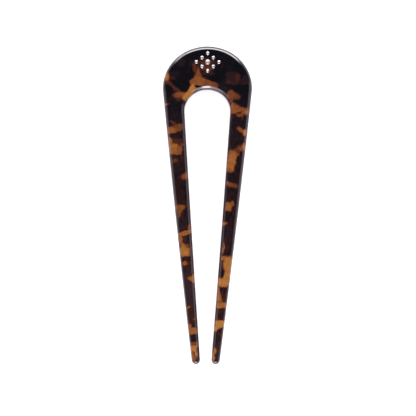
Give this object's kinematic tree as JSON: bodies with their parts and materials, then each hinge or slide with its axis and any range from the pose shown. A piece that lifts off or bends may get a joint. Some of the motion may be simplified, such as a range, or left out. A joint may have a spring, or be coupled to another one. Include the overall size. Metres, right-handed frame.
{
  "type": "french hair pin",
  "caption": "Flat U-shaped hair pin in tortoiseshell acetate: broad rounded crown with small domed silver studs, long tapering legs and rounded tips.",
  "frame": {"origin": "middle of the pin's footprint, on the flat back that it lies on", "axes": "+X to the right as seen from the front, +Y from the tips to the crown, +Z out of the front face"},
  "size_m": [0.0364, 0.13, 0.0043],
  "materials": {
    "tortoiseshell": "polished tortoiseshell acetate, near black with amber and red-brown patches",
    "silver": "polished silver with fine wear"
  },
  "bodies": {
    "root": {"pin": "tortoiseshell", "stud_1": "silver", "stud_2": "silver", "stud_3": "silver", "stud_4": "silver", "stud_5": "silver", "stud_6": "silver", "stud_7": "silver", "stud_8": "silver", "stud_9": "silver"}
  },
  "joints": []
}
